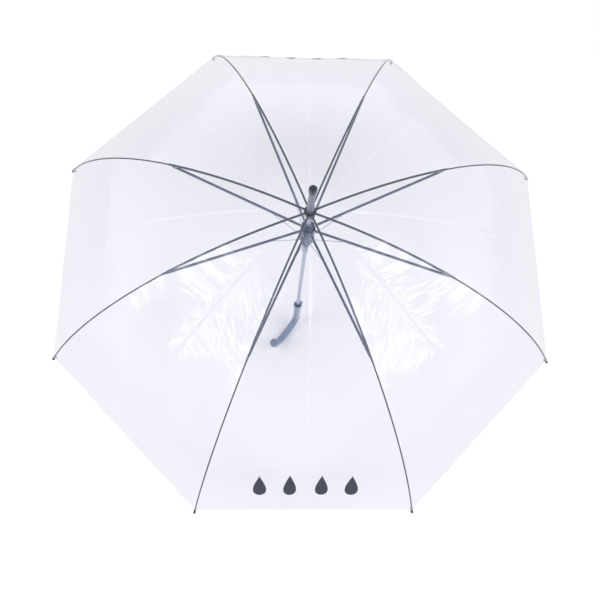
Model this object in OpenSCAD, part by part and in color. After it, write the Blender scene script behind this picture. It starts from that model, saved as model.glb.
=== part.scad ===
// Clear automatic stick umbrella, open, standing on its shaft axis.
// Origin: centre of the straight grip on the shaft axis. +Z runs up the shaft to the ferrule.
// Each rib is drawn in its own vertical plane: x is the distance from the shaft, z is up.

/* [Canopy] */
// Length of a rib along its curve, from notch pivot to tip
rib_len = 600; // [590:1:605]
// Slope of the rib where it leaves the notch, degrees below level
slope_hub = -5; // [-6:0.5:-3]
// Slope of the rib at the stretcher joint, degrees below level
slope_mid = 21; // [20:0.5:22]
// Slope of the rib at its tip, degrees below level
slope_tip = 61.4; // [58:0.2:64]
// Height of the film's middle above the ribs' centrelines
film_lift = 2.4; // [2.3:0.1:2.6]
// Thickness of the film
film_t = 0.3; // [0.2:0.05:0.4]
// Depth by which the film sinks between two ribs
film_sag = 7; // [0:1:12]

/* [Linkage] */
// Where the stretcher is pinned, along the rib
pin_at = 248; // [240:1:250]
// Where the inner channel ends and the outer rod starts, along the rib
flex_at = 256; // [256:1:260]
// Depth of the stretcher pin below the rib's centreline
lug_drop = 3.6; // [3.4:0.1:4]
// Radius of the ribs' pivot circle in the notch
notch_r = 8.5; // [8.3:0.1:8.8]
// Radius of the stretchers' pivot circle in the runner
runner_r = 11; // [10.9:0.1:11.2]
// Radius of the links' pivot circle in the spring ring
ring_r = 11.5; // [11.3:0.1:11.8]
// Distance from a stretcher's inner pivot to its link's pivot
link_at = 64; // [60:1:66]
// Height of the runner's pivots above the spring ring's pivots
ring_drop = 42; // [40:1:43]

/* [Shaft] */
// Outer diameter of the steel shaft
shaft_d = 8; // [8:0.1:8.1]
// Height of the notch pivots above the middle of the grip
notch_h = 608; // [606:1:612]
// Height of the ferrule's top above the notch pivots
ferrule_h = 86; // [84:1:92]

/* [Handle] */
// Outer diameter of the grip
grip_d = 17; // [17:0.5:18]
// Height of the grip's top above its middle
grip_top = 40; // [40:1:41]
// Depth of the straight grip's end below its middle
grip_low = 56; // [50:1:60]
// Radius of the hook's centreline
hook_r = 46; // [38:1:46]
// Compass direction of the hook, from +X towards +Y
hook_az = 232; // [230:1:240]
// Travel of the release button
button_travel = 1.5; // [1.4:0.1:1.5]

/* [Hidden] */
$fn = 48;

rib_count = 8;
rib_pitch = 360 / rib_count;
first_az = rib_pitch / 2;
arc_fn = 360;
wire_r = 0.6;
pin_r = 0.6;
pin_fit = 0.1;
eye_hole_r = 0.86;
channel_w = 3;
channel_h = 2.6;
channel_t = 0.5;
rod_r = 1.2;
cheek_r = 1.5;
knuckle_r = 1.1;
ear_in = 0.95;
stretcher_w = 3.8;
stretcher_h = 3;
stretcher_eye_r = 1.7;
slot_w = 4.4;
slot_r = 9.2;
tube_r = 6.9;
tail_r = 5.8;
tail_bore = 4.3;
collar_top = 56;
latch_z = 46;
latch_t = 2;
yoke_shift = 1.2;
rivet_r = 1;
runner_top = 8;
runner_foot = -64;
hook_bar_r = grip_d / 2 + 0.4;
hook_lap = 3;
hook_end_h = 10;
cap_r = 10.6;

// Rib curve: two tangent arcs in the rib's plane
arc_in = flex_at / (slope_mid - slope_hub) * 180 / PI;
arc_out = (rib_len - flex_at) / (slope_tip - slope_mid) * 180 / PI;

function slope(s) = s <= flex_at
    ? slope_hub + s / arc_in * 180 / PI
    : slope_mid + (s - flex_at) / arc_out * 180 / PI;
function arc_step(r, a, b) = r * [sin(b) - sin(a), cos(b) - cos(a)];
function rib_pt(s) = s <= flex_at
    ? [notch_r, 0] + arc_step(arc_in, slope_hub, slope(s))
    : rib_pt(flex_at) + arc_step(arc_out, slope_mid, slope(s));
function off_rib(s, h) = rib_pt(s) + h * [sin(slope(s)), cos(slope(s))];
function rib_az(k) = first_az + (k - 1) * rib_pitch;

// Linkage at rest: rib pin, runner pivot, link pivot and ring pivot
rib_pin = off_rib(pin_at, -lug_drop);
chord_slope = atan2(-rib_pin[1], rib_pin[0] - notch_r);
stretcher_len = norm(rib_pin - [notch_r, 0]) - (runner_r - notch_r) / cos(chord_slope);
stretcher_rise = acos((rib_pin[0] - runner_r) / stretcher_len);
runner_z = rib_pin[1] - stretcher_len * sin(stretcher_rise);
link_pin = [runner_r, runner_z] + link_at * [cos(stretcher_rise), sin(stretcher_rise)];
ring_z = runner_z - ring_drop;
link_vec = link_pin - [ring_r, ring_z];
link_len = norm(link_vec);
link_rise = atan2(link_vec[1], link_vec[0]);

// One cross rivet fixes the notch, the other stops the runner
rivet_heights = [notch_h - 12, notch_h + runner_z + runner_top + 0.4 + rivet_r];

module in_plane(k) {
    rotate([0, 0, rib_az(k)]) translate([0, 0, notch_h]) children();
}

module at(p) {
    translate([p[0], 0, p[1]]) children();
}

module on_rib(s, h = 0) {
    at(off_rib(s, h)) rotate([0, slope(s), 0]) children();
}

// Round bar lying across the rib's plane
module across(r, w, y = 0) {
    translate([0, y, 0]) rotate([90, 0, 0]) cylinder(r = r, h = w, center = true);
}

// Sweeps a profile (x outwards from the curve, y across it) along the rib
module along_rib(s0, s1) {
    big_r = s1 <= flex_at ? arc_in : arc_out;
    a0 = s1 <= flex_at ? slope(s0) : slope_mid + (s0 - flex_at) / arc_out * 180 / PI;
    a1 = slope(s1);
    at(off_rib(s1, -big_r)) rotate([90, 0, 0]) rotate([0, 0, 90 - a1])
        rotate_extrude(angle = a1 - a0, $fn = arc_fn) translate([big_r, 0]) children();
}

module torus(big_r, small_r) {
    rotate_extrude($fn = 96) translate([big_r, 0]) circle(r = small_r, $fn = 32);
}

// Slots cut in a crown, one for each rib's plane
module crown_slots(from_r, width, low, high) {
    for (k = [1 : rib_count])
        rotate([0, 0, rib_az(k)])
            translate([from_r, -width / 2, low]) cube([20, width, high - low]);
}

module hollow_channel(w, h, t) {
    difference() {
        square([h, w], center = true);
        translate([-t, 0]) square([h, w - 2 * t], center = true);
    }
}

// Inner part of a rib: pressed channel, notch eye, stretcher lug and two cheeks
module rib(k) {
    lug_w = 3.8;
    lug_t = 1.2;
    wall_y = (channel_w - channel_t) / 2;
    color("#3d4047") in_plane(k) difference() {
        union() {
            difference() {
                along_rib(1, flex_at) hollow_channel(channel_w, channel_h, channel_t);
                on_rib(flex_at) translate([-1.8, -wall_y + channel_t / 2, -3])
                    cube([4, 2 * wall_y - channel_t, 6]);
            }
            at(rib_pt(0)) across(1.6, 2.4);
            for (side = [-1, 1])
                on_rib(flex_at) across(cheek_r, channel_t, side * wall_y);
            on_rib(flex_at) across(0.45, channel_w - 0.2);
            on_rib(pin_at) translate([-lug_w / 2, -lug_t / 2, -lug_drop])
                cube([lug_w, lug_t, lug_drop + 0.9]);
            at(rib_pin) across(lug_w / 2 + 0.2, lug_t);
        }
        at(rib_pt(0)) across(eye_hole_r, 5);
        at(rib_pin) across(pin_r + pin_fit, 5);
    }
}

// Outer part of a rib: a round rod with a flat knuckle on the cheeks' pin
module rib_end(k) {
    rod_start = flex_at + 1.9;
    knuckle_w = 1.4;
    color("#3d4047") in_plane(k) {
        difference() {
            union() {
                on_rib(flex_at) across(knuckle_r, knuckle_w);
                on_rib(flex_at) translate([0, -knuckle_w / 2, -0.8]) cube([2.6, knuckle_w, 1.6]);
                along_rib(rod_start, rib_len - 4) circle(r = rod_r, $fn = 32);
            }
            on_rib(flex_at) across(0.53, 5);
        }
    }
}

// Moulded cap on a rib's tip, with a ball and an eye for the film's hem
module tip(k) {
    cap_len = 11;
    body_r = 2.2;
    ball_r = 2.6;
    eye_r = 1.7;
    eye_wire_r = 0.55;
    color("#4a4d55") in_plane(k) on_rib(rib_len) {
        difference() {
            union() {
                translate([-cap_len, 0, 0]) rotate([0, 90, 0]) cylinder(r = body_r, h = cap_len);
                sphere(r = ball_r, $fn = 32);
                translate([-7, 0, -3.4]) rotate([90, 0, 0]) rotate_extrude()
                    translate([eye_r, 0]) circle(r = eye_wire_r, $fn = 24);
            }
            translate([-cap_len - 1, 0, 0]) rotate([0, 90, 0])
                cylinder(r = rod_r + 0.1, h = cap_len - 2.5);
        }
    }
}

// Stretcher: straight channel, forked at both ends, open underneath
module stretcher(k) {
    body_start = 3.5;
    body_end = stretcher_len - 6;
    ear_t = stretcher_w / 2 - ear_in;
    ear_y = ear_in + ear_t / 2;
    color("#9aa3b8") in_plane(k) at([runner_r, runner_z]) rotate([0, -stretcher_rise, 0])
        difference() {
            union() {
                difference() {
                    translate([body_start, -stretcher_w / 2, -stretcher_h / 2])
                        cube([body_end - body_start, stretcher_w, stretcher_h]);
                    translate([0, -stretcher_w / 2 + 0.5, -stretcher_h / 2 - 1])
                        cube([stretcher_len, stretcher_w - 1, stretcher_h + 0.5]);
                }
                for (side = [-1, 1]) for (x = [0, stretcher_len]) {
                    translate([x, 0, 0]) across(stretcher_eye_r, ear_t, side * ear_y);
                    translate([x == 0 ? 0 : stretcher_len - 8, side * ear_y, 0])
                        translate([0, -ear_t / 2, -1.3]) cube([8, ear_t, 2.6]);
                }
                translate([stretcher_len, 0, 0]) across(pin_r, stretcher_w);
            }
            across(eye_hole_r, 6);
            translate([link_at, 0, 0]) across(pin_r + pin_fit, 6);
        }
}

// Wire link from the spring ring up to the stretcher, its upper end bent into a pin
module link(k) {
    color("#8d94a3") in_plane(k) at([ring_r, ring_z]) rotate([0, -link_rise, 0])
        difference() {
            union() {
                rotate([0, 90, 0]) translate([0, 0, 0.9])
                    cylinder(r = wire_r, h = link_len - 0.9, $fn = 24);
                across(1.4, 1.6);
                translate([link_len, 0, 0]) across(pin_r, 4.8);
            }
            across(eye_hole_r, 4);
        }
}

// Film: one closed dome skin with a hole for the shaft, straight hem edges and sunken gores
module canopy() {
    cells = 6;
    n = rib_count * cells;
    hem_s = rib_len - 14;
    stations = concat([8, 30, 60], [for (s = [100 : 40 : hem_s - 40]) s], [hem_s - 18, hem_s]);
    rows = len(stations) + 2;
    hole_r = shaft_d / 2 + 0.6;
    function row_pt(i, h) = i < 2
        ? [i == 0 ? hole_r : 9.5, off_rib(8, film_lift)[1] + h]
        : off_rib(stations[i - 2], film_lift + h);
    function tight(i) = i < 2 ? 0 : min(1, stations[i - 2] / 60);
    function sag_at(i) = i < 2 ? 0 : film_sag * sin(180 * stations[i - 2] / hem_s);
    function film_pt(i, j, h) =
        let (
            u = (j % cells) / cells,
            az = first_az + j * 360 / n,
            p = row_pt(i, h),
            chord = cos(rib_pitch / 2) / cos((u - 0.5) * rib_pitch),
            b = i < 2 ? 0 : slope(stations[i - 2]),
            dip = sag_at(i) * sin(180 * u),
            r = p[0] * (1 + tight(i) * (chord - 1)) - dip * sin(b)
        )
        [r * cos(az), r * sin(az), p[1] - dip * cos(b)];
    points = [
        for (h = [film_t / 2, -film_t / 2]) for (i = [0 : rows - 1]) for (j = [0 : n - 1])
            film_pt(i, j, h)
    ];
    under = rows * n;
    function at_ij(layer, i, j) = layer * under + i * n + j % n;
    function quad(a, b, c, d) = [[a, b, c], [a, c, d]];
    skin = [
        for (i = [0 : rows - 2]) for (j = [0 : n - 1]) each concat(
            quad(at_ij(0, i, j), at_ij(0, i, j + 1), at_ij(0, i + 1, j + 1), at_ij(0, i + 1, j)),
            quad(at_ij(1, i, j), at_ij(1, i + 1, j), at_ij(1, i + 1, j + 1), at_ij(1, i, j + 1))
        )
    ];
    edges = [
        for (j = [0 : n - 1]) each concat(
            quad(at_ij(0, 0, j), at_ij(1, 0, j), at_ij(1, 0, j + 1), at_ij(0, 0, j + 1)),
            quad(
                at_ij(0, rows - 1, j), at_ij(0, rows - 1, j + 1),
                at_ij(1, rows - 1, j + 1), at_ij(1, rows - 1, j)
            )
        )
    ];
    color([0.86, 0.88, 0.95, 0.35]) translate([0, 0, notch_h])
        polyhedron(points = points, faces = concat(skin, edges), convexity = 6);
}

// Steel tube with cross holes for the two rivets
module shaft() {
    top = notch_h + 30;
    low = -44;
    color("#aab3c4") difference() {
        translate([0, 0, low]) cylinder(d = shaft_d, h = top - low);
        translate([0, 0, low - 1]) cylinder(d = shaft_d - 1.2, h = top - low + 2);
        for (z = rivet_heights) translate([0, 0, z]) rotate([0, 90, 0])
            cylinder(r = rivet_r, h = 20, center = true, $fn = 24);
    }
}

// Two cross rivets: one fixes the notch, one stops the runner
module shaft_rivets() {
    color("#c3c8d0")
        for (z = rivet_heights) translate([0, 0, z]) rotate([0, 90, 0])
            cylinder(r = rivet_r, h = z == rivet_heights[0] ? 13 : 10.4, center = true, $fn = 24);
}

// Moulded crown under the film: the ribs hang on a wire in its slots
module top_notch() {
    color("#34373f") translate([0, 0, notch_h]) difference() {
        union() {
            translate([0, 0, -5]) cylinder(r = 10.4, h = 7.2);
            translate([0, 0, -18]) cylinder(r = 6, h = 14);
        }
        translate([0, 0, -20]) cylinder(d = shaft_d, h = 30);
        crown_slots(6.4, 3.6, -6, 1.9);
        torus(notch_r, wire_r + 0.02);
        translate([0, 0, -12]) rotate([0, 90, 0])
            cylinder(r = rivet_r, h = 30, center = true, $fn = 24);
    }
}

module notch_wire() {
    color("#b9bec8") translate([0, 0, notch_h]) torus(notch_r, wire_r);
}

// Washer that clamps the film against the notch
module canopy_washer() {
    color("#2f323a") translate([0, 0, notch_h + off_rib(8, film_lift)[1] + film_t / 2 + 0.05])
        rotate_extrude() polygon([[4.05, 0], [9.6, 0], [9.6, 0.6], [9, 1.2], [4.05, 1.2]]);
}

// Tapered clear ferrule over the shaft's top end
module ferrule() {
    foot = off_rib(8, film_lift)[1] + film_t / 2 + 1.25;
    top = ferrule_h - 11;
    color("#8f96a8") translate([0, 0, notch_h]) rotate_extrude() polygon([
        [4.02, foot], [7.8, foot], [7.8, foot + 1.6], [6.6, foot + 3],
        [5.5, top], [3.02, top], [3.02, 40], [4.02, 30]
    ]);
}

// Dark knob on the ferrule, with a stem down its bore
module ferrule_tip() {
    knob_r = 6.75;
    knob_h = 9;
    dome_h = 2;
    stem_r = 3;
    stem_h = 14;
    knob_foot = ferrule_h - dome_h - knob_h;
    color("#30333b") translate([0, 0, notch_h]) {
        translate([0, 0, knob_foot + 1 - stem_h]) cylinder(r = stem_r, h = stem_h);
        translate([0, 0, knob_foot]) cylinder(r = knob_r, h = knob_h);
        translate([0, 0, ferrule_h - dome_h]) rotate_extrude() intersection() {
            scale([1, dome_h / knob_r]) circle(r = knob_r);
            square([10, 10]);
        }
    }
}

// Runner: slotted crown on a long tube that slides on the shaft
module runner() {
    crown_r = 13;
    crown_h = 12;
    neck_r = 7.2;
    sleeve_fit_r = 5.6;
    color("#3b4254") translate([0, 0, notch_h + runner_z]) difference() {
        union() {
            translate([0, 0, -crown_h / 2]) cylinder(r = crown_r, h = crown_h);
            cylinder(r = neck_r, h = runner_top);
            translate([0, 0, runner_foot]) cylinder(r = tube_r, h = -4 - runner_foot);
        }
        translate([0, 0, -70]) cylinder(r = tail_bore + 0.1, h = 90);
        translate([0, 0, -70]) cylinder(r = sleeve_fit_r, h = 14);
        crown_slots(slot_r, slot_w, -8, 9);
        torus(runner_r, wire_r + 0.02);
    }
    color("#3b4254") translate([0, 0, notch_h + runner_z]) difference() {
        cylinder(r = 5, h = runner_top);
        translate([0, 0, -1]) cylinder(d = shaft_d + 0.16, h = 20);
    }
}

// Pale sleeve pressed into the runner's tube; the latch catches the groove in its tail
module runner_sleeve() {
    bore = (shaft_d + 0.16) / 2;
    groove_z = -76.5;
    sleeve_flange_r = 9;
    color("#8a93a8") translate([0, 0, notch_h + runner_z]) rotate_extrude() polygon([
        [tail_bore, -57], [5.6, -57], [5.6, runner_foot], [sleeve_flange_r, runner_foot],
        [sleeve_flange_r, runner_foot - 1], [tail_r, runner_foot - 2.4],
        [tail_r, groove_z + 1.7], [4.95, groove_z + 1.7],
        [4.95, groove_z - 1.7], [tail_r, groove_z - 1.7],
        [tail_r, -108], [tail_r - 0.8, -110], [bore, -110], [bore, -104], [tail_bore, -103.5]
    ]);
}

module runner_wire() {
    color("#b9bec8") translate([0, 0, notch_h + runner_z]) torus(runner_r, wire_r);
}

// Coil spring between the runner's crown and the spring ring
module opening_spring() {
    turns = 5;
    sides = 6;
    per_turn = 16;
    coil_r = 7.75;
    low = ring_z + 3.5 + wire_r + 0.05;
    high = runner_z - 6 - wire_r - 0.05;
    rings = turns * per_turn;
    points = [
        for (i = [0 : rings]) for (j = [0 : sides - 1])
            let (
                a = i * 360 / per_turn,
                b = j * 360 / sides,
                r = coil_r + wire_r * cos(b)
            )
            [r * cos(a), r * sin(a), low + (high - low) * i / rings + wire_r * sin(b)]
    ];
    walls = [
        for (i = [0 : rings - 1]) for (j = [0 : sides - 1])
            let (a = i * sides + j, b = i * sides + (j + 1) % sides)
            each [[a, b, b + sides], [a, b + sides, a + sides]]
    ];
    ends = [[for (j = [sides - 1 : -1 : 0]) j], [for (j = [0 : sides - 1]) rings * sides + j]];
    color("#aeb4c0") translate([0, 0, notch_h])
        polyhedron(points = points, faces = concat(walls, ends), convexity = 8);
}

// Slotted ring under the spring: the links hang on its wire
module spring_ring() {
    outer_r = 13.4;
    height = 7;
    running_fit = 0.08;
    color("#3b4254") translate([0, 0, notch_h + ring_z]) difference() {
        translate([0, 0, -height / 2]) cylinder(r = outer_r, h = height);
        translate([0, 0, -height]) cylinder(r = tube_r + running_fit, h = 2 * height);
        crown_slots(slot_r, slot_w, -5, 5);
        torus(ring_r, wire_r + 0.02);
    }
}

module ring_wire() {
    color("#b9bec8") translate([0, 0, notch_h + ring_z]) torus(ring_r, wire_r);
}

module towards_button(z) {
    translate([0, 0, z]) rotate([0, 0, hook_az - 180]) children();
}

// Handle: straight grip and a slightly stouter hook in one bar, socketed for shaft and sleeve
module handle_grip() {
    shaft_seat = -44;
    sleeve_seat = 9;
    collar_seat = 28;
    color("#7d869c") difference() {
        union() {
            translate([0, 0, -grip_low - hook_lap])
                cylinder(d = grip_d, h = hook_lap + grip_low + grip_top);
            rotate([0, 0, hook_az]) translate([hook_r, 0, -grip_low]) rotate([90, 0, 0])
                rotate([0, 0, 180]) rotate_extrude(angle = 180, $fn = 96)
                    translate([hook_r, 0]) circle(r = hook_bar_r, $fn = 48);
            rotate([0, 0, hook_az]) translate([2 * hook_r, 0, -grip_low])
                cylinder(r = hook_bar_r, h = hook_end_h);
        }
        translate([0, 0, shaft_seat]) cylinder(d = shaft_d, h = 100);
        translate([0, 0, sleeve_seat]) cylinder(r = tail_r + 0.5, h = 40);
        translate([0, 0, collar_seat]) cylinder(r = 7.05, h = 20);
    }
}

// Flared collar on top of the grip, with the button's boss and the latch's chamber
module handle_collar() {
    chamber_r = 7.6;
    boss_r = 5.2;
    boss_h = 7.4;
    well_r = 4.3;
    color("#2f3340") difference() {
        union() {
            rotate_extrude() polygon([
                [0, 28], [7, 28], [7, grip_top], [8.7, grip_top],
                [10.2, grip_top + 5], [10.2, collar_top - 1], [9.2, collar_top], [0, collar_top]
            ]);
            towards_button(latch_z) translate([6, 0, 0]) rotate([0, 90, 0])
                cylinder(r = boss_r, h = boss_h);
        }
        translate([0, 0, 20]) cylinder(r = tail_r + 0.5, h = 50);
        for (x = [yoke_shift, yoke_shift - button_travel])
            towards_button(latch_z - latch_t / 2 - 0.3) translate([x, 0, 0])
                cylinder(r = chamber_r, h = latch_t + 0.6);
        towards_button(latch_z) {
            translate([9.3, 0, 0]) rotate([0, 90, 0]) cylinder(r = well_r, h = 6);
            translate([6, -1.8, -1.3]) cube([5, 3.6, 2.6]);
        }
    }
}

// Rounded cap on the hook's end
module handle_end_cap() {
    foot = -grip_low + 4;
    straight = 8;
    below = 3;
    color("#5c647a") rotate([0, 0, hook_az]) translate([2 * hook_r, 0, 0]) difference() {
        union() {
            translate([0, 0, foot]) cylinder(r = cap_r, h = straight);
            translate([0, 0, foot + straight]) sphere(r = cap_r);
        }
        translate([0, 0, foot - below])
            cylinder(r = hook_bar_r + 0.05, h = hook_end_h - grip_low - foot + below);
    }
}

module release_button() {
    color("#8a93a8") towards_button(latch_z) translate([11.9, 0, 0]) rotate([0, 90, 0])
        rotate_extrude() polygon([[0, 0], [4.2, 0], [4.2, 2.6], [3.4, 3.3], [0, 3.5]]);
}

// Short coil under the button's head, round the latch's stem
module button_spring() {
    coil_r = 3;
    coil_wire_r = 0.24;
    color("#aeb4c0") towards_button(latch_z) rotate([0, 90, 0])
        for (x = [11.15, 11.6]) translate([0, 0, x]) torus(coil_r, coil_wire_r);
}

// Latch: yoke plate round the sleeve's tail, on a stem from the button
module latch() {
    yoke_r = 7.4;
    eye_r = 6.3;
    stem_w = 3;
    color("#c3c8d0") towards_button(latch_z) difference() {
        union() {
            translate([yoke_shift, 0, -latch_t / 2]) cylinder(r = yoke_r, h = latch_t);
            translate([8, -stem_w / 2, -latch_t / 2]) cube([3.9, stem_w, latch_t]);
        }
        translate([yoke_shift, 0, -latch_t]) cylinder(r = eye_r, h = 2 * latch_t);
    }
}

canopy();
shaft();
top_notch();
notch_wire();
shaft_rivets();
canopy_washer();
ferrule();
ferrule_tip();
runner();
runner_sleeve();
runner_wire();
opening_spring();
spring_ring();
ring_wire();
handle_grip();
handle_collar();
handle_end_cap();
release_button();
button_spring();
latch();
rib(1);  // rib_1
rib(2);  // rib_2
rib(3);  // rib_3
rib(4);  // rib_4
rib(5);  // rib_5
rib(6);  // rib_6
rib(7);  // rib_7
rib(8);  // rib_8
rib_end(1);  // rib_end_1
rib_end(2);  // rib_end_2
rib_end(3);  // rib_end_3
rib_end(4);  // rib_end_4
rib_end(5);  // rib_end_5
rib_end(6);  // rib_end_6
rib_end(7);  // rib_end_7
rib_end(8);  // rib_end_8
tip(1);  // tip_1
tip(2);  // tip_2
tip(3);  // tip_3
tip(4);  // tip_4
tip(5);  // tip_5
tip(6);  // tip_6
tip(7);  // tip_7
tip(8);  // tip_8
stretcher(1);  // stretcher_1
stretcher(2);  // stretcher_2
stretcher(3);  // stretcher_3
stretcher(4);  // stretcher_4
stretcher(5);  // stretcher_5
stretcher(6);  // stretcher_6
stretcher(7);  // stretcher_7
stretcher(8);  // stretcher_8
link(1);  // link_1
link(2);  // link_2
link(3);  // link_3
link(4);  // link_4
link(5);  // link_5
link(6);  // link_6
link(7);  // link_7
link(8);  // link_8
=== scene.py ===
from math import cos, pi, radians, sin

import bpy
import numpy as np
from mathutils import Matrix, Vector


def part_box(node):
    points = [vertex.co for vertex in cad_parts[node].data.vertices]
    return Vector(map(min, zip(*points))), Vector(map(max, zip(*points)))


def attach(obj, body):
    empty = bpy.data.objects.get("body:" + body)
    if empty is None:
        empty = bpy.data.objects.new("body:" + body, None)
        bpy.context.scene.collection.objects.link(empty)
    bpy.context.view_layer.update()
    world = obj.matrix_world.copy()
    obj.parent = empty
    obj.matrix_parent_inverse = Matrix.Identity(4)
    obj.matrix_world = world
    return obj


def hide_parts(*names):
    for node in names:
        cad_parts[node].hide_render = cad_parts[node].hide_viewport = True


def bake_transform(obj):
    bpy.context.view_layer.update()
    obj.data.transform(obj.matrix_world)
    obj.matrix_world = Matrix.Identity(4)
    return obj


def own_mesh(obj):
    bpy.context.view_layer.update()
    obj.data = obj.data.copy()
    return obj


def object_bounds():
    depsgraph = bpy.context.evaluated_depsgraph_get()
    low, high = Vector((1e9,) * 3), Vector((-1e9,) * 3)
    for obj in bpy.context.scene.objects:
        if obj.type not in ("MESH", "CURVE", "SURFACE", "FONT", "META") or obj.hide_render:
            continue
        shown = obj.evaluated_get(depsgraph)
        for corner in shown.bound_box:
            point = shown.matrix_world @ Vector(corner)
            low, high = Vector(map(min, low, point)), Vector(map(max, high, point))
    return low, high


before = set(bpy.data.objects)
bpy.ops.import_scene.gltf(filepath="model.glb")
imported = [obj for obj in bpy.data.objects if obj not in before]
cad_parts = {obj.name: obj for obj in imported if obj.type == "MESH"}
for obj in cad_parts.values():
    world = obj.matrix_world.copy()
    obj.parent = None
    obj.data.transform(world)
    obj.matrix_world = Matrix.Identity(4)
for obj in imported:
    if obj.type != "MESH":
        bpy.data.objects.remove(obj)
cad_box = [list(corner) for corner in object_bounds()]
scene = bpy.context.scene
scene.view_settings.view_transform = "Standard"


# --- Studio ---------------------------------------------------------------------------------------
# A seamless white table under the upright umbrella, in a white room with a dimmer ceiling, and a
# bank of strip softboxes on each side, whose light glances off the two film gores in front.
def linear(code):
    """An sRGB hex colour as the linear numbers that sockets take."""
    parts = [int(code[i : i + 2], 16) / 255 for i in (1, 3, 5)]
    parts = [c / 12.92 if c <= 0.04045 else ((c + 0.055) / 1.055) ** 2.4 for c in parts]
    return (*parts, 1.0)


def put(tree, kind, inputs=None, **settings):
    """Adds a node, sets its settings, and fills its inputs with values or links."""
    node = tree.nodes.new(kind)
    for name, value in settings.items():
        setattr(node, name, value)
    for socket, value in (inputs or {}).items():
        if isinstance(value, bpy.types.NodeSocket):
            tree.links.new(value, node.inputs[socket])
        else:
            node.inputs[socket].default_value = value
    return node


def bare_material(name):
    """A new material with an empty node tree, and that tree."""
    made = bpy.data.materials.new(name)
    made.use_nodes = True
    made.node_tree.nodes.clear()
    return made, made.node_tree


def mixed(tree, factor, low, high):
    """A colour between two hex colours, by a factor from 0 to 1."""
    inputs = {0: factor, 6: linear(low), 7: linear(high)}
    return put(tree, "ShaderNodeMix", inputs, data_type="RGBA").outputs[2]


def remap(tree, value, start, end, at_start, at_end):
    """A value carried from one range to another, and clamped at the ends."""
    inputs = {0: value, 1: start, 2: end, 3: at_start, 4: at_end}
    return put(tree, "ShaderNodeMapRange", inputs).outputs[0]


def add_mesh(name, points, faces, material):
    """A new smooth-shaded object at the origin, with its place in its mesh."""
    mesh = bpy.data.meshes.new(name)
    mesh.from_pydata(points, [], faces)
    mesh.materials.append(material)
    mesh.shade_smooth()
    piece = bpy.data.objects.new(name, mesh)
    scene.collection.objects.link(piece)
    return piece


floor_gap = 0.0005
floor_z = cad_box[0][2] - floor_gap
floor_half = 30.0
table_paint, tree = bare_material("matt_white_table_laminate")
speckle = put(tree, "ShaderNodeTexNoise", {"Scale": 40.0, "Detail": 3.0})
tone = mixed(tree, speckle.outputs[0], "#f3f3f4", "#f8f8f8")
surface = put(tree, "ShaderNodeBsdfPrincipled", {"Base Color": tone, "Roughness": 0.9})
put(tree, "ShaderNodeOutputMaterial", {"Surface": surface.outputs[0]})
corner_signs = ((-1, -1), (1, -1), (1, 1), (-1, 1))
floor_corners = [(x * floor_half, y * floor_half, floor_z) for x, y in corner_signs]
floor = add_mesh("studio_floor", floor_corners, [(0, 1, 2, 3)], table_paint)

room = bpy.data.worlds.new("white_room")
room.use_nodes = True
tree = room.node_tree
tree.nodes.clear()
direction = put(tree, "ShaderNodeTexCoord").outputs["Generated"]
height = put(tree, "ShaderNodeSeparateXYZ", {0: direction}).outputs["Z"]
wall_light = 1.57
ceiling_light = 0.56
wall_top, ceiling_edge = 0.20, 0.95
glow = remap(tree, height, wall_top, ceiling_edge, wall_light, ceiling_light)
walls = put(tree, "ShaderNodeBackground", {"Color": linear("#fbfbff"), "Strength": glow})
put(tree, "ShaderNodeOutputWorld", {"Surface": walls.outputs[0]})
scene.world = room

strips = 6
strip_width = 1.00
strip_depth = 0.14
strip_spacing = 0.36
strip_power = 2.8
bank_side, bank_back, bank_height = 1.35, -0.40, 2.05
lit_side, lit_back, lit_height = 0.20, -0.20, 0.55
for mark, hand in (("left", -1), ("right", 1)):
    bank_centre = Vector((hand * bank_side, bank_back, bank_height))
    lit_place = Vector((hand * lit_side, lit_back, lit_height))
    aim = (lit_place - bank_centre).to_track_quat("-Z", "Y")
    for i in range(strips):
        lamp = bpy.data.lights.new(f"strip_{mark}_{i + 1}", "AREA")
        lamp.shape = "RECTANGLE"
        lamp.size = strip_width
        lamp.size_y = strip_depth
        lamp.energy = strip_power
        lamp.color = linear("#fdfdff")[:3]
        box = bpy.data.objects.new(lamp.name, lamp)
        scene.collection.objects.link(box)
        along_bank = (i - (strips - 1) / 2) * strip_spacing
        box.location = bank_centre + aim @ Vector((0, along_bank, 0))
        box.rotation_euler = aim.to_euler()

camera = bpy.data.objects.new("camera", bpy.data.cameras.new("camera"))
scene.collection.objects.link(camera)
camera.data.lens = 39.98
camera.data.sensor_width = 36.0
camera_azimuth = radians(7.772)
camera_elevation = radians(73.451)
camera_roll = radians(-8.029)
camera_place = (-0.0571, -0.4464, 1.6117)
camera.matrix_world = (
    Matrix.Translation(camera_place)
    @ Matrix.Rotation(-camera_azimuth, 4, "Z")
    @ Matrix.Rotation(pi / 2 - camera_elevation, 4, "X")
    @ Matrix.Rotation(-camera_roll, 4, "Z")
)
scene.camera = camera


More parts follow.
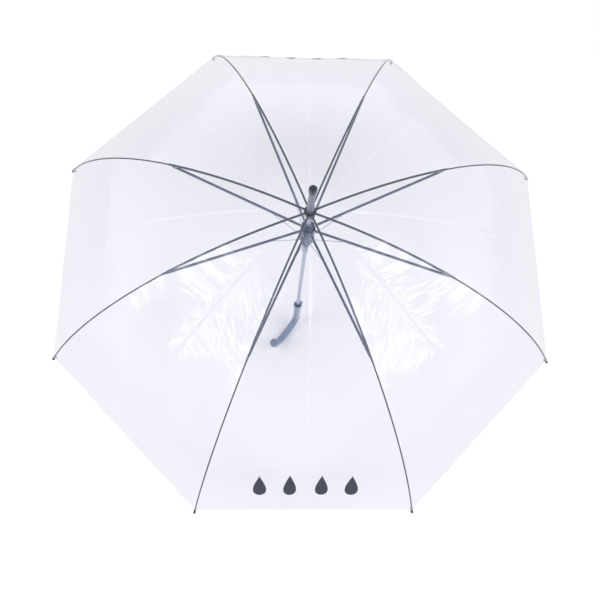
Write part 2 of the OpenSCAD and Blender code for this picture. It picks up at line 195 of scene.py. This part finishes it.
# --- Film canopy ----------------------------------------------------------------------------------
# Eight gores of clear polyolefin film, hot-welded along the ribs into one skin, that is clamped
# at the top, laid over the ribs and tied to each tip, and still shows its packing folds. It is
# one surface without thickness, cut along the ribs, the gores' middles and the ribs' hinges.
RIBS = 8
EACH_RIB = range(1, RIBS + 1)
PITCH = 2 * pi / RIBS
FIRST_AZIMUTH = PITCH / 2
NOTCH = np.array([0.0085, 0.608])
HINGE_S = 0.256
TIP_S = 0.600
HEM_S = 0.586
CLAMP_S = 0.030
TOP_S = 0.0005
SLOPES = np.radians([-5.0, 21.0, 61.4])
ARC_IN = HINGE_S / (SLOPES[1] - SLOPES[0])
ARC_OUT = (TIP_S - HINGE_S) / (SLOPES[2] - SLOPES[1])
FILM_LIFT = 0.0024
FILM_SAG = 0.007
TIGHT_S = 0.060
HELD_WIDTH = 0.018
WRINKLES = {"count": 12, "coarse": 0.022, "fine": 0.0065, "sway": 0.4}
WRINKLE_LEAN = 0.42
WRINKLE_HEIGHT = 0.00016
SLACK = {"count": 6, "coarse": 0.170, "fine": 0.070, "sway": 0.45}
SLACK_HEIGHT = 0.0012
RIDGE_HEIGHT = 0.0011
CROSS_FOLDS_S = (0.2125, 0.402)
CROSS_FOLD_HEIGHT = 0.00035
FOLD_WIDTH = 0.0035
CREASE_WIDTH = 0.0016


def slope(s):
    """Slope of a rib at arc length s, in radians below level."""
    s = np.asarray(s, float)
    return np.where(s <= HINGE_S, SLOPES[0] + s / ARC_IN, SLOPES[1] + (s - HINGE_S) / ARC_OUT)


def on_rib(s, lift=0.0):
    """Radius and height of a point on a rib's centreline, or above it by lift."""
    b = slope(s)
    inner = np.minimum(s, HINGE_S) / ARC_IN + SLOPES[0]
    r = NOTCH[0] + ARC_IN * (np.sin(inner) - np.sin(SLOPES[0]))
    z = NOTCH[1] + ARC_IN * (np.cos(inner) - np.cos(SLOPES[0]))
    outer = np.maximum(b, SLOPES[1])
    r = r + ARC_OUT * (np.sin(outer) - np.sin(SLOPES[1]))
    z = z + ARC_OUT * (np.cos(outer) - np.cos(SLOPES[1]))
    return r + lift * np.sin(b), z + lift * np.cos(b)


def rib_azimuth(k):
    return FIRST_AZIMUTH + (k - 1) * PITCH


def rib_beside(gore, side):
    """The rib that bounds a gore on one side: its own number, or the next one round."""
    return gore if side > 0 else gore % RIBS + 1


def fold_fade(s):
    """1 along a gore's middle fold, and falling to 0 where it dies out towards the hem."""
    return np.clip((0.43 - s) / 0.08, 0, 1)


def ripples(seed, s, across, count, coarse, fine, sway):
    """A sum of fixed waves over a gore: they run along s and drift slowly across it."""
    draw = np.random.default_rng(400 + seed)
    total = np.zeros(np.broadcast(s, across).shape)
    for _ in range(count):
        length = draw.uniform(fine, coarse)
        drift = draw.uniform(-sway, sway)
        phase = draw.uniform(0, 2 * pi)
        total += length / coarse * np.sin(2 * pi * (s + drift * across) / length + phase)
    return total / np.sqrt(count)


def film_point(gore, s, h, side):
    """Points on one gore's film, with their distances from the rib and from the gore's middle.

    h runs from 0 at the rib to 1 at the middle.
    """
    u = h / 2 if side > 0 else 1 - h / 2
    b = slope(s)
    r, z = on_rib(s, FILM_LIFT)
    tight = np.minimum(1.0, s / TIGHT_S)
    chord = cos(PITCH / 2) / np.cos((u - 0.5) * PITCH)
    from_middle = r * np.sin(np.abs(u - 0.5) * PITCH) * chord
    from_rib = r * sin(PITCH / 2) - from_middle
    held = np.clip(from_rib / HELD_WIDTH, 0, 1)

    # Chevron wrinkles run from the ribs to the middle and lean towards the hub.
    reach = np.clip((s - 0.05) / 0.06, 0, 1) * np.clip((0.44 - s) / 0.16, 0, 1)
    leaning_s = s - WRINKLE_LEAN * from_middle
    chevron = ripples(gore * 2 + (side > 0), leaning_s, from_middle, **WRINKLES)
    wave = WRINKLE_HEIGHT * reach * held * chevron
    # Slack between rib and middle, longer and lazier towards the hem.
    loose = np.clip((s - 0.10) / 0.2, 0, 1) * np.clip((HEM_S + 0.02 - s) / 0.1, 0.25, 1)
    lazy = ripples(gore + 40, from_middle * side, s, **SLACK)
    wave = wave + SLACK_HEIGHT * held * loose * lazy
    # Packing folds: the gore's middle, pressed to a ridge, and two cross folds.
    fading = np.clip((s - 0.02) / 0.03, 0, 1) * fold_fade(s)
    wave = wave + RIDGE_HEIGHT * fading * np.exp(-from_middle / FOLD_WIDTH)
    for fold_s in CROSS_FOLDS_S:
        wave = wave + CROSS_FOLD_HEIGHT * held * np.exp(-np.abs(s - fold_s) / FOLD_WIDTH)

    dip = FILM_SAG * np.sin(pi * s / HEM_S) * np.sin(pi * u) - wave
    r = r * (1 + tight * (chord - 1)) - dip * np.sin(b)
    azimuth = rib_azimuth(gore) + u * PITCH
    place = np.stack([r * np.cos(azimuth), r * np.sin(azimuth), z - dip * np.cos(b)], -1)
    return place, from_rib, from_middle


film, tree = bare_material("clear_polyolefin_film")
# Clear film shows as a faint cool tint, soft reflections off its skin, and a little milkiness
# where it is welded, hemmed or has been folded.
seam = put(tree, "ShaderNodeAttribute", attribute_name="from_seam").outputs["Fac"]
hem = put(tree, "ShaderNodeAttribute", attribute_name="from_hem").outputs["Fac"]
fold = put(tree, "ShaderNodeAttribute", attribute_name="folded").outputs["Fac"]
place = put(tree, "ShaderNodeTexCoord").outputs["Object"]
weld_milk, hem_milk, crease_milk = 0.055, 0.045, 0.07
weld = remap(tree, seam, 0.0032, 0.0042, weld_milk, 0.0)
band = remap(tree, hem, 0.0050, 0.0060, hem_milk, 0.0)
crease = put(tree, "ShaderNodeMath", {0: fold, 1: crease_milk}, operation="MULTIPLY")
cloud = put(tree, "ShaderNodeTexNoise",
            {"Vector": place, "Scale": 9.0, "Detail": 4.0, "Roughness": 0.6})
mottle = remap(tree, cloud.outputs[0], 0.35, 0.7, 0.004, 0.016)
haze = put(tree, "ShaderNodeMath", {0: weld, 1: band}, operation="MAXIMUM")
haze = put(tree, "ShaderNodeMath", {0: haze.outputs[0], 1: crease.outputs[0]}, operation="ADD")
haze = put(tree, "ShaderNodeMath", {0: haze.outputs[0], 1: mottle}, operation="ADD")
skin = put(tree, "ShaderNodeTexNoise",
           {"Vector": place, "Scale": 110.0, "Detail": 3.0, "Roughness": 0.55})
relief = put(tree, "ShaderNodeBump",
             {"Height": skin.outputs[0], "Strength": 0.10, "Distance": 0.0006})
clear = put(tree, "ShaderNodeBsdfTransparent", {"Color": (0.838, 0.838, 0.870, 1.0)})
gloss = put(tree, "ShaderNodeBsdfGlossy", {"Roughness": 0.12, "Normal": relief.outputs[0]})
milk = put(tree, "ShaderNodeBsdfPrincipled", {"Base Color": linear("#eef0f8"), "Roughness": 0.5})
mirror = put(tree, "ShaderNodeFresnel", {"IOR": 1.49, "Normal": relief.outputs[0]})
body = put(tree, "ShaderNodeMixShader",
           {0: haze.outputs[0], 1: clear.outputs[0], 2: milk.outputs[0]})
whole = put(tree, "ShaderNodeMixShader",
            {0: mirror.outputs[0], 1: body.outputs[0], 2: gloss.outputs[0]})
put(tree, "ShaderNodeOutputMaterial", {"Surface": whole.outputs[0]})


def film_piece(name, gore, side, rows, columns, low, high):
    """One patch of film between low(h) and high(h), with normals that run on into its neighbours.

    Its columns crowd together towards the gore's middle, where the fold's ridge is.
    """
    crowding = 1.25
    h = 1 - (1 - np.linspace(0, 1, columns)) ** crowding
    t = np.linspace(0, 1, rows)
    s = low(h)[None, :] * (1 - t[:, None]) + high(h)[None, :] * t[:, None]
    hh = np.broadcast_to(h[None, :], s.shape)
    points, from_rib, from_middle = film_point(gore, s, hh, side)
    step_s, step_h, edge_h = 0.0004, 0.003, 0.004
    up = film_point(gore, s + step_s, hh, side)[0] - film_point(gore, s - step_s, hh, side)[0]
    inside = np.clip(hh, edge_h, 1 - edge_h)
    over = (film_point(gore, s, inside + step_h, side)[0]
            - film_point(gore, s, inside - step_h, side)[0])
    normals = np.cross(up, over) * side
    normals /= np.linalg.norm(normals, axis=-1, keepdims=True)
    faces = []
    for i in range(rows - 1):
        for j in range(columns - 1):
            a = i * columns + j
            quad = (a, a + columns, a + columns + 1, a + 1)
            faces.append(quad if side > 0 else quad[::-1])
    piece = add_mesh(name, points.reshape(-1, 3).tolist(), faces, film)
    mesh = piece.data
    folded = np.exp(-from_middle / CREASE_WIDTH) * fold_fade(s)
    for label, values in (("from_seam", from_rib), ("from_hem", HEM_S - s), ("folded", folded)):
        attribute = mesh.attributes.new(label, "FLOAT", "POINT")
        attribute.data.foreach_set("value", values.ravel().astype(np.float32))
    mesh.normals_split_custom_set_from_vertices(normals.reshape(-1, 3).tolist())
    return piece


def held_film():
    """Hides the CAD canopy, which the patches of film stand in for."""
    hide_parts("canopy")


def hinge_line(h):
    """Where the film creases beside a rib's hinge: further out towards the gore's middle."""
    return HINGE_S + 0.032 * h ** 1.5


def at_s(s):
    """An edge of a patch that keeps to one arc length."""
    return lambda h: np.full(h.shape, s)


MARKS = {1: "right", -1: "left"}
for gore, side in [(gore, side) for gore in EACH_RIB for side in MARKS]:
    rib = rib_beside(gore, side)
    mark = MARKS[side]
    azimuth = rib_azimuth(rib)

    crown = film_piece(f"film_crown_{rib}_{mark}", gore, side, rows=10, columns=9,
                       low=at_s(TOP_S), high=at_s(CLAMP_S))
    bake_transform(crown)
    held_film()

    inner = film_piece(f"film_inner_{rib}_{mark}", gore, side, rows=84, columns=31,
                       low=at_s(CLAMP_S), high=hinge_line)
    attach(inner, f"rib_{rib}")
    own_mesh(inner)
    held_film()

    outer = film_piece(f"film_outer_{rib}_{mark}", gore, side, rows=90, columns=31,
                       low=hinge_line, high=at_s(HEM_S))
    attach(outer, f"rib_end_{rib}")
    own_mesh(outer)
    held_film()


# --- Printed drops --------------------------------------------------------------------------------
# A plain row of four rain drops, screen-printed in slate ink near the hem of the front gore and
# of the back one. Each drop lies wholly on one half of its gore, so that it folds with that half.
ink, tree = bare_material("slate_screen_ink")
# Ink on film: dense, satin, and slightly uneven where the mesh of the screen let it through.
place = put(tree, "ShaderNodeTexCoord").outputs["Object"]
grain = put(tree, "ShaderNodeTexNoise", {"Vector": place, "Scale": 260.0, "Detail": 4.0})
shade = mixed(tree, grain.outputs[0], "#1f2334", "#2a2f41")
surface = put(tree, "ShaderNodeBsdfPrincipled",
              {"Base Color": shade, "Roughness": 0.42, "IOR": 1.45})
put(tree, "ShaderNodeOutputMaterial", {"Surface": surface.outputs[0]})

drop_height = 0.052
drop_half_width = 0.0165
drop_foot_s = HEM_S - 0.048
drop_taper = 1.4
drops_from_middle = (0.029, 0.083)
ink_lift = 0.0003


def drop_patch(gore, side, offset):
    """Rings of points from a drop's middle to its outline, laid on the film."""
    turns, rings = 40, 7
    points, faces = [], []
    for ring in range(rings + 1):
        for turn in range(turns):
            a = 2 * pi * turn / turns
            size = ring / rings
            x = drop_half_width * size * sin(a) * sin(a / 2) ** drop_taper
            y = drop_height / 2 * (1 - size * cos(a))
            points.append((offset + x, drop_foot_s - drop_height + y))
    for ring in range(rings):
        for turn in range(turns):
            a = ring * turns + turn
            b = ring * turns + (turn + 1) % turns
            faces.append((a, a + turns, b + turns, b) if side > 0 else (a, b, b + turns, a + turns))
    flat = np.array(points)
    s = flat[:, 1]
    r, _ = on_rib(s, FILM_LIFT)
    half = r * sin(PITCH / 2)
    h = 1 - flat[:, 0] / half
    laid, _, _ = film_point(gore, s, h, side)
    azimuth = rib_azimuth(gore) + PITCH / 2
    b = slope(s)
    out = np.stack([np.sin(b) * cos(azimuth), np.sin(b) * sin(azimuth), np.cos(b)], -1)
    return laid + out * ink_lift, faces


for gore, where in ((6, "front"), (2, "back")):
    for side in (1, -1):
        rib = rib_beside(gore, side)
        points, faces = [], []
        for offset in drops_from_middle:
            laid, rows = drop_patch(gore, side, offset)
            faces += [tuple(i + len(points) for i in row) for row in rows]
            points += laid.tolist()
        drops = add_mesh(f"printed_drops_{where}_{MARKS[side]}", points, faces, ink)
        azimuth = rib_azimuth(rib)
        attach(drops, f"rib_end_{rib}")
        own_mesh(drops)


# --- Ribs and rib ends ----------------------------------------------------------------------------
# Eight ribs: a pressed steel channel plated in grey nickel, from the notch to the stretcher
# joint, then a springy black-oxide steel rod. Dark moulded caps are pushed on the rods' tips.
def dress(names, material):
    """Gives CAD nodes a finish."""
    for name in names:
        for material_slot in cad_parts[name].material_slots:
            material_slot.material = material


def plated_metal(name, dark, light, roughness, draw_scale, stain_scale=30.0):
    """Plated steel: soft stains in the plating, and draw lines that vary its polish."""
    made, tree = bare_material(name)
    place = put(tree, "ShaderNodeTexCoord").outputs["Object"]
    stain = put(tree, "ShaderNodeTexNoise", {"Vector": place, "Scale": stain_scale, "Detail": 5.0})
    colour = mixed(tree, stain.outputs[0], dark, light)
    lines = put(tree, "ShaderNodeTexNoise", {"Vector": place, "Scale": draw_scale, "Detail": 2.0})
    polish = remap(tree, lines.outputs[0], 0.3, 0.7, roughness - 0.07, roughness + 0.09)
    relief = put(tree, "ShaderNodeBump",
                 {"Height": lines.outputs[0], "Strength": 0.15, "Distance": 0.0001})
    surface = put(tree, "ShaderNodeBsdfPrincipled", {
        "Base Color": colour, "Metallic": 1.0, "Roughness": polish, "Normal": relief.outputs[0]})
    put(tree, "ShaderNodeOutputMaterial", {"Surface": surface.outputs[0]})
    return made


grey_nickel = plated_metal("grey_nickel_plate", "#3a4258", "#505970", 0.34, 900.0)
dress([f"rib_{k}" for k in EACH_RIB], grey_nickel)
black_oxide = plated_metal("black_oxide_steel", "#10141f", "#1b2130", 0.30, 900.0)
dress([f"rib_end_{k}" for k in EACH_RIB], black_oxide)


def moulded_plastic(name, base, pale, roughness, grain=450.0, coat=0.0, glow=0.0):
    """Moulded plastic: faint flow clouding, a fine mould texture and scuffs in its polish."""
    made, tree = bare_material(name)
    place = put(tree, "ShaderNodeTexCoord").outputs["Object"]
    flow = put(tree, "ShaderNodeTexNoise",
               {"Vector": place, "Scale": 35.0, "Detail": 4.0, "Distortion": 0.8})
    colour = mixed(tree, flow.outputs[0], base, pale)
    texture = put(tree, "ShaderNodeTexNoise", {"Vector": place, "Scale": grain, "Detail": 3.0})
    polish = remap(tree, texture.outputs[0], 0.3, 0.7, roughness - 0.06, roughness + 0.08)
    relief = put(tree, "ShaderNodeBump",
                 {"Height": texture.outputs[0], "Strength": 0.12, "Distance": 0.0002})
    surface = put(tree, "ShaderNodeBsdfPrincipled", {
        "Base Color": colour, "Roughness": polish, "IOR": 1.5,
        "Subsurface Weight": glow, "Subsurface Radius": (0.004, 0.004, 0.005),
        "Coat Weight": coat, "Coat Roughness": 0.12, "Normal": relief.outputs[0]})
    put(tree, "ShaderNodeOutputMaterial", {"Surface": surface.outputs[0]})
    return made


tip_plastic = moulded_plastic("smoke_grey_acetal", "#13151b", "#1e2128", 0.35)
dress([f"tip_{k}" for k in EACH_RIB], tip_plastic)


# --- Stretchers, links and their rivets -----------------------------------------------------------
# Pressed steel stretchers run from the runner to the ribs, and wire links run up to them from
# the spring ring. Both are zinc plated and passivated blue. Domed rivets close the joints.
blue_zinc = plated_metal("blue_zinc_plate", "#7b8498", "#979fb4", 0.38, 700.0)
dress([f"stretcher_{k}" for k in EACH_RIB], blue_zinc)
bright_wire = plated_metal("drawn_bright_wire", "#bcc3d4", "#d2d7e2", 0.28, 1200.0)
dress([f"link_{k}" for k in EACH_RIB], bright_wire)
dress(["notch_wire", "runner_wire", "ring_wire"], bright_wire)
dress(["shaft_rivets", "button_spring", "latch"], bright_wire)


def new_tree(name, sockets):
    """A Geometry Nodes tree with named inputs and one geometry output, and its input node."""
    made = bpy.data.node_groups.new(name, "GeometryNodeTree")
    made.interface.new_socket("Geometry", in_out="OUTPUT", socket_type="NodeSocketGeometry")
    for label, kind in sockets:
        made.interface.new_socket(label, in_out="INPUT", socket_type=kind)
    return made, put(made, "NodeGroupInput")


def close_tree(tree, geometry, material):
    """Shades a tree's geometry smooth, gives it a material and makes it the tree's output."""
    smooth = put(tree, "GeometryNodeSetShadeSmooth", {0: geometry})
    dressed = put(tree, "GeometryNodeSetMaterial",
                  {"Geometry": smooth.outputs[0], "Material": material})
    put(tree, "NodeGroupOutput", {0: dressed.outputs[0]})


def grow(name, tree, values):
    """Runs a tree with these inputs on an empty mesh, and returns the result as a plain piece."""
    holder = bpy.data.objects.new(name + "_source", bpy.data.meshes.new(name + "_source"))
    scene.collection.objects.link(holder)
    maker = holder.modifiers.new("maker", "NODES")
    maker.node_group = tree
    for item in tree.interface.items_tree:
        if item.in_out == "INPUT":
            maker[item.identifier] = values[item.name]
    scene_state = bpy.context.evaluated_depsgraph_get()
    scene_state.update()
    mesh = bpy.data.meshes.new_from_object(holder.evaluated_get(scene_state))
    bpy.data.objects.remove(holder)
    mesh.name = name
    piece = bpy.data.objects.new(name, mesh)
    scene.collection.objects.link(piece)
    return piece


rivets, given = new_tree("rivet_pair", [
    ("Half width", "NodeSocketFloat"), ("Head radius", "NodeSocketFloat"),
    ("Head height", "NodeSocketFloat"), ("Place", "NodeSocketVector"),
    ("Azimuth", "NodeSocketFloat"), ("Material", "NodeSocketMaterial")])
width = given.outputs["Half width"]
ends = put(rivets, "GeometryNodeMeshLine", {"Count": 2}, mode="END_POINTS", count_mode="TOTAL")
minus = put(rivets, "ShaderNodeMath", {0: width, 1: -1.0}, operation="MULTIPLY")
near = put(rivets, "ShaderNodeCombineXYZ", {1: minus.outputs[0]})
far = put(rivets, "ShaderNodeCombineXYZ", {1: width})
rivets.links.new(near.outputs[0], ends.inputs["Start Location"])
rivets.links.new(far.outputs[0], ends.inputs["Offset"])
head = put(rivets, "GeometryNodeMeshUVSphere", {"Segments": 20, "Rings": 10, "Radius": 1.0})
girth = given.outputs["Head radius"]
size = put(rivets, "ShaderNodeCombineXYZ", {0: girth, 1: given.outputs["Head height"], 2: girth})
heads = put(rivets, "GeometryNodeInstanceOnPoints", {
    "Points": ends.outputs[0], "Instance": head.outputs["Mesh"], "Scale": size.outputs[0]})
solid = put(rivets, "GeometryNodeRealizeInstances", {0: heads.outputs[0]})
turn = put(rivets, "ShaderNodeCombineXYZ", {2: given.outputs["Azimuth"]})
moved = put(rivets, "GeometryNodeTransform", {
    "Geometry": solid.outputs[0], "Translation": given.outputs["Place"],
    "Rotation": turn.outputs[0]})
close_tree(rivets, moved.outputs[0], given.outputs["Material"])


def beside_rib(k, s, lift=0.0):
    """A point on a rib's centreline, or above it by lift, as three plain numbers."""
    r, z = on_rib(s, lift)
    azimuth = rib_azimuth(k)
    return (float(r) * cos(azimuth), float(r) * sin(azimuth), float(z))


PIN_S = 0.248
LUG_DROP = 0.0036
for k in EACH_RIB:
    joint = grow(f"stretcher_rivet_{k}", rivets, {
        "Half width": 0.0019, "Head radius": 0.0012, "Head height": 0.0007,
        "Place": beside_rib(k, PIN_S, -LUG_DROP), "Azimuth": rib_azimuth(k),
        "Material": bright_wire})
    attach(joint, f"stretcher_{k}")
    pivot = grow(f"rib_rivet_{k}", rivets, {
        "Half width": 0.0015, "Head radius": 0.0010, "Head height": 0.0006,
        "Place": beside_rib(k, HINGE_S), "Azimuth": rib_azimuth(k),
        "Material": bright_wire})
    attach(pivot, f"rib_{k}")


# --- Hem ties -------------------------------------------------------------------------------------
# At each tip three turns of clear nylon thread pass through the eye of the cap and up through
# the corner of the film, and hold the hem taut.
nylon = moulded_plastic("clear_nylon_thread", "#c9ccd8", "#dfe1ea", 0.30, grain=2500.0)

ties, given = new_tree("thread_turns", [
    ("Turns", "NodeSocketInt"), ("Pitch", "NodeSocketFloat"), ("Thread radius", "NodeSocketFloat"),
    ("Half length", "NodeSocketFloat"), ("Half width", "NodeSocketFloat"),
    ("Lean", "NodeSocketFloat"), ("Place", "NodeSocketVector"),
    ("Azimuth", "NodeSocketFloat"), ("Material", "NodeSocketMaterial")])
loop = put(ties, "GeometryNodeCurvePrimitiveCircle", {"Resolution": 28, "Radius": 1.0})
shape = put(ties, "ShaderNodeCombineXYZ",
            {0: given.outputs["Half length"], 1: given.outputs["Half width"], 2: 1.0})
oval = put(ties, "GeometryNodeTransform", {"Geometry": loop.outputs[0], "Scale": shape.outputs[0]})
section = put(ties, "GeometryNodeCurvePrimitiveCircle",
              {"Resolution": 8, "Radius": given.outputs["Thread radius"]})
thread = put(ties, "GeometryNodeCurveToMesh",
             {"Curve": oval.outputs[0], "Profile Curve": section.outputs[0]})
spacing = put(ties, "ShaderNodeCombineXYZ", {2: given.outputs["Pitch"]})
row = put(ties, "GeometryNodeMeshLine",
          {"Count": given.outputs["Turns"], "Offset": spacing.outputs[0]})
turns = put(ties, "GeometryNodeInstanceOnPoints",
            {"Points": row.outputs[0], "Instance": thread.outputs[0]})
solid = put(ties, "GeometryNodeRealizeInstances", {0: turns.outputs[0]})
lean = put(ties, "ShaderNodeCombineXYZ", {1: given.outputs["Lean"]})
leant = put(ties, "GeometryNodeTransform",
            {"Geometry": solid.outputs[0], "Rotation": lean.outputs[0]})
turn = put(ties, "ShaderNodeCombineXYZ", {2: given.outputs["Azimuth"]})
moved = put(ties, "GeometryNodeTransform", {
    "Geometry": leant.outputs[0], "Translation": given.outputs["Place"],
    "Rotation": turn.outputs[0]})
close_tree(ties, moved.outputs[0], given.outputs["Material"])

eye_from_tip, eye_below_rib = 0.0070, 0.0034
hole_from_hem = 0.0030
thread_r = 0.0002
thread_pitch = 2 * thread_r
eye_r, eye_z = on_rib(TIP_S - eye_from_tip, -eye_below_rib)
hole_r, hole_z = on_rib(HEM_S - hole_from_hem, FILM_LIFT)
tie_length = float(np.hypot(eye_r - hole_r, eye_z - hole_z))
for k in EACH_RIB:
    azimuth = rib_azimuth(k)
    middle_r = float(eye_r + hole_r) / 2
    tie = grow(f"hem_tie_{k}", ties, {
        "Turns": 3, "Pitch": thread_pitch, "Thread radius": thread_r,
        "Half length": tie_length / 2 + thread_pitch, "Half width": 0.0031,
        "Lean": float(np.arctan2(hole_z - eye_z, eye_r - hole_r)),
        "Place": (middle_r * cos(azimuth), middle_r * sin(azimuth), float(eye_z + hole_z) / 2),
        "Azimuth": azimuth, "Material": nylon})
    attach(tie, f"rib_end_{k}")


# --- Ferrule, washer and notch --------------------------------------------------------------------
# Over the shaft's top end: a tapered ferrule of smoke-clear styrene with a dark knob, a black
# washer that clamps the film, and under the film the black crown that the ribs hang in.
smoke_clear, tree = bare_material("smoke_clear_styrene")
# Clear moulding with a little dye: its faces pass light straight on and its edges look darker.
place = put(tree, "ShaderNodeTexCoord").outputs["Object"]
flow = put(tree, "ShaderNodeTexNoise",
           {"Vector": place, "Scale": 60.0, "Detail": 3.0, "Distortion": 1.2})
colour = mixed(tree, flow.outputs[0], "#5f6579", "#7c8296")
facing = put(tree, "ShaderNodeLayerWeight", {"Blend": 0.35}).outputs["Facing"]
density = remap(tree, facing, 0.0, 0.8, 0.70, 0.92)
# Its foot is thick, so it darkens downwards from 22 mm above the notch to 8 mm above it.
thin_above_z, thick_below_z = 0.630, 0.616
height = put(tree, "ShaderNodeSeparateXYZ", {0: place}).outputs["Z"]
bulk = remap(tree, height, thin_above_z, thick_below_z, 0.0, 0.90)
colour = put(tree, "ShaderNodeMix", {0: bulk, 6: colour, 7: linear("#2a2e3b")}, data_type="RGBA")
dyed = put(tree, "ShaderNodeBsdfPrincipled", {
    "Base Color": colour.outputs[2], "Roughness": 0.16, "IOR": 1.59,
    "Coat Weight": 0.4, "Coat Roughness": 0.05})
passing = put(tree, "ShaderNodeBsdfTransparent", {"Color": (0.66, 0.66, 0.69, 1.0)})
whole = put(tree, "ShaderNodeMixShader",
            {0: density, 1: passing.outputs[0], 2: dyed.outputs[0]})
put(tree, "ShaderNodeOutputMaterial", {"Surface": whole.outputs[0]})
dress(["ferrule"], smoke_clear)

dark_styrene = moulded_plastic("dark_slate_styrene", "#191c27", "#262a38", 0.24, coat=0.3)
dress(["ferrule_tip", "canopy_washer", "top_notch"], dark_styrene)


# --- Shaft, runner and opening spring -------------------------------------------------------------
# A nickel-plated steel tube carries a slate runner with a pale sleeve. Between the runner's
# crown and the sliding ring sits the coil spring that throws the umbrella open.
bright_nickel = plated_metal("bright_nickel_plate", "#a9b3c6", "#c3cbda", 0.24, 1500.0, 12.0)
dress(["shaft"], bright_nickel)
slate_acetal = moulded_plastic("slate_blue_acetal", "#535e78", "#66718d", 0.32, glow=0.1)
dress(["runner"], slate_acetal)
pale_acetal = moulded_plastic("pale_blue_acetal", "#a4adc0", "#b9c1d1", 0.30, glow=0.25)
dress(["runner_sleeve", "spring_ring", "release_button"], pale_acetal)

coils, given = new_tree("compression_spring", [
    ("Turns", "NodeSocketFloat"), ("Coil radius", "NodeSocketFloat"),
    ("Wire radius", "NodeSocketFloat"), ("Length", "NodeSocketFloat"),
    ("Foot", "NodeSocketFloat"), ("Material", "NodeSocketMaterial")])
around = given.outputs["Coil radius"]
spiral = put(coils, "GeometryNodeCurveSpiral", {
    "Resolution": 40, "Rotations": given.outputs["Turns"], "Start Radius": around,
    "End Radius": around, "Height": 0.0})
along = put(coils, "GeometryNodeSplineParameter").outputs["Factor"]
climb = put(coils, "ShaderNodeMapRange",
            {0: along, 1: 0.0, 2: 1.0, 3: 0.0, 4: given.outputs["Length"]},
            interpolation_type="SMOOTHSTEP")
rise = put(coils, "ShaderNodeMath", {0: climb.outputs[0], 1: given.outputs["Foot"]},
           operation="ADD")
lift = put(coils, "ShaderNodeCombineXYZ", {2: rise.outputs[0]})
wound = put(coils, "GeometryNodeSetPosition",
            {"Geometry": spiral.outputs[0], "Offset": lift.outputs[0]})
section = put(coils, "GeometryNodeCurvePrimitiveCircle",
              {"Resolution": 12, "Radius": given.outputs["Wire radius"]})
wire = put(coils, "GeometryNodeCurveToMesh",
           {"Curve": wound.outputs[0], "Profile Curve": section.outputs[0], "Fill Caps": True})
solid = put(coils, "GeometryNodeRealizeInstances", {0: wire.outputs[0]})
close_tree(coils, solid.outputs[0], given.outputs["Material"])

spring_low, spring_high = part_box("opening_spring")
wire_r = 0.0006
spring = grow("opening_spring_coil", coils, {
    "Turns": 6.5, "Coil radius": (spring_high.x - spring_low.x) / 2 - wire_r, "Wire radius": wire_r,
    "Length": spring_high.z - spring_low.z - 2 * wire_r, "Foot": spring_low.z + wire_r,
    "Material": bright_wire})
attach(spring, "runner")
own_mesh(spring)
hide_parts("opening_spring")


# --- Handle ---------------------------------------------------------------------------------------
# A straight grip and hook in one translucent smoke-blue moulding, a darker collar with the
# boss of the release button, and a rounded cap pushed over the hook's end.
smoke_blue = moulded_plastic(
    "smoke_blue_translucent_moulding", "#707f9a", "#8693ab", 0.26, coat=0.35, glow=0.3)
dress(["handle_grip"], smoke_blue)
cap_plastic = moulded_plastic(
    "smoke_blue_cap_moulding", "#66758d", "#7a899f", 0.30, coat=0.3, glow=0.2)
dress(["handle_end_cap"], cap_plastic)
collar_plastic = moulded_plastic("slate_collar_moulding", "#7786a6", "#8b98b4", 0.30, coat=0.2)
dress(["handle_collar"], collar_plastic)


# --- See-through bounces --------------------------------------------------------------------------
# A sight line can cross many layers of film, so enough see-through bounces are allowed.
scene.cycles.transparent_max_bounces = 24
